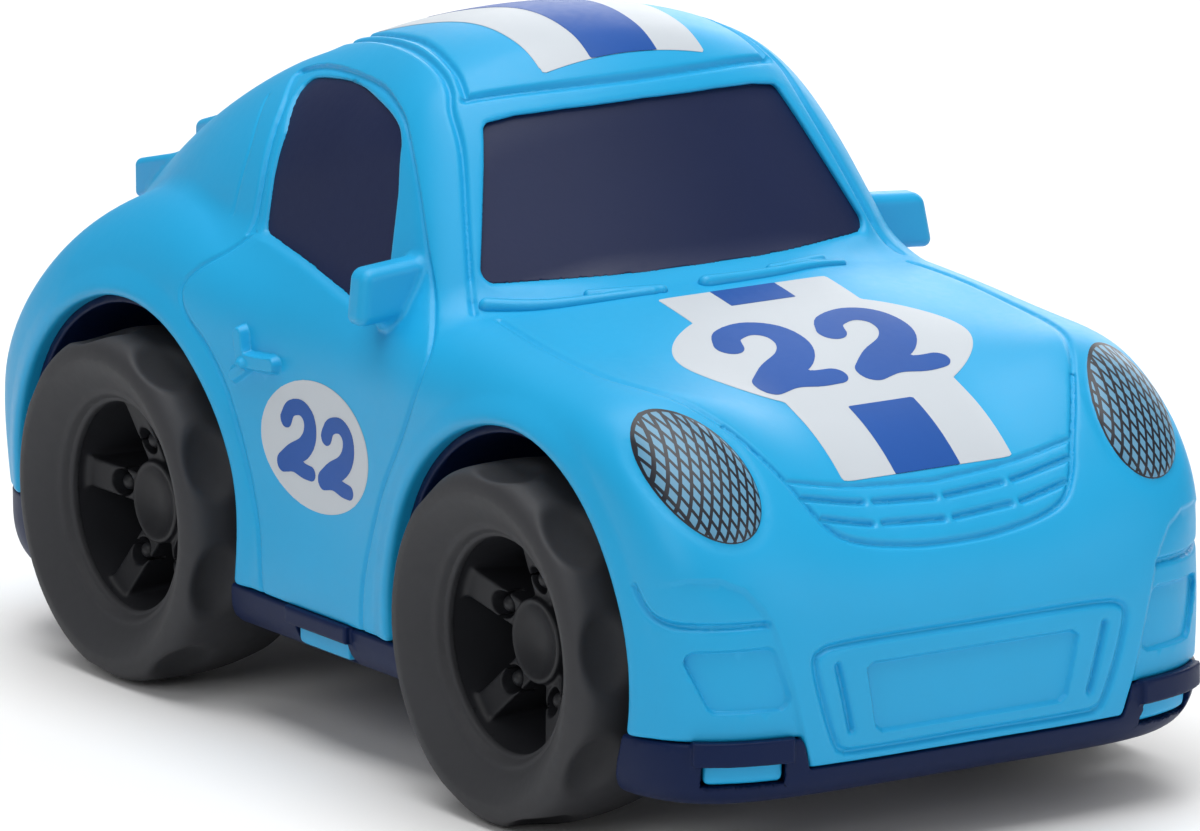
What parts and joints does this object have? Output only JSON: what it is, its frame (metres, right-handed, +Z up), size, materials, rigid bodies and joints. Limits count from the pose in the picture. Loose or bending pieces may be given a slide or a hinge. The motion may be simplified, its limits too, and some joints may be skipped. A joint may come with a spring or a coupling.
{
  "type": "pull back toy car",
  "caption": "Rounded toy coupe with clip-on plastic shell, one-piece window insert, chassis, soft tyres on spoked hubs and a geared spring motor on the rear axle.",
  "frame": {"origin": "on the ground midway between the four wheels", "axes": "+X towards the nose, +Y towards the car's left side, +Z up"},
  "size_m": [0.152, 0.0798, 0.0805],
  "materials": {
    "body_plastic": "satin light blue injection moulding with pad-printed stripes",
    "window_plastic": "fine satin navy panes",
    "chassis_plastic": "satin navy injection moulding",
    "tyre_rubber": "matt soft dark grey",
    "hub_plastic": "satin dark grey",
    "motor_case_plastic": "natural off-white moulding",
    "gear_plastic": "natural acetal",
    "axle_steel": "drawn steel",
    "spring_steel": "blued spring steel",
    "screw_steel": "zinc plated"
  },
  "bodies": {
    "car_body": {"body_shell": "body_plastic", "window_insert": "window_plastic", "chassis": "chassis_plastic", "motor_case_left": "motor_case_plastic", "motor_case_right": "motor_case_plastic", "mainspring": "spring_steel", "motor_case_screws": "screw_steel", "motor_mount_screws": "screw_steel"},
    "front_wheels": {"front_axle": "axle_steel", "hub_front_left": "hub_plastic", "hub_front_right": "hub_plastic", "tyre_front_left": "tyre_rubber", "tyre_front_right": "tyre_rubber"},
    "rear_wheels": {"rear_axle": "axle_steel", "hub_rear_left": "hub_plastic", "hub_rear_right": "hub_plastic", "tyre_rear_left": "tyre_rubber", "tyre_rear_right": "tyre_rubber", "axle_pinion": "gear_plastic"},
    "compound": {"compound_gear": "gear_plastic", "compound_shaft": "axle_steel"},
    "spring_drive": {"spring_gear": "gear_plastic", "spring_arbor": "axle_steel"},
    "winding": {"winding_pinion": "gear_plastic", "winding_shaft": "axle_steel"}
  },
  "joints": [
    {"name": "front_axle_spin", "type": "hinge", "parent": "car_body", "child": "front_wheels", "pos_m": [0.04, 0, 0.02], "axis": [0, 1, 0], "continuous": true},
    {"name": "rear_axle_spin", "type": "hinge", "parent": "car_body", "child": "rear_wheels", "pos_m": [-0.04, 0, 0.02], "axis": [0, 1, 0], "continuous": true},
    {"name": "compound_gear_spin", "type": "hinge", "parent": "car_body", "child": "compound", "pos_m": [-0.02713, 0, 0.02469], "axis": [0, 1, 0], "continuous": true},
    {"name": "spring_gear_spin", "type": "hinge", "parent": "car_body", "child": "spring_drive", "pos_m": [-0.01188, 0, 0.02335], "axis": [0, 1, 0], "continuous": true},
    {"name": "winding_pinion_spin", "type": "hinge", "parent": "car_body", "child": "winding", "pos_m": [-0.02307, 0, 0.03668], "axis": [0, 1, 0], "continuous": true}
  ],
  "couplings": [
    {"joint": "compound_gear_spin", "follows": "rear_axle_spin", "ratio": -0.41667},
    {"joint": "spring_gear_spin", "follows": "rear_axle_spin", "ratio": 0.14881}
  ]
}
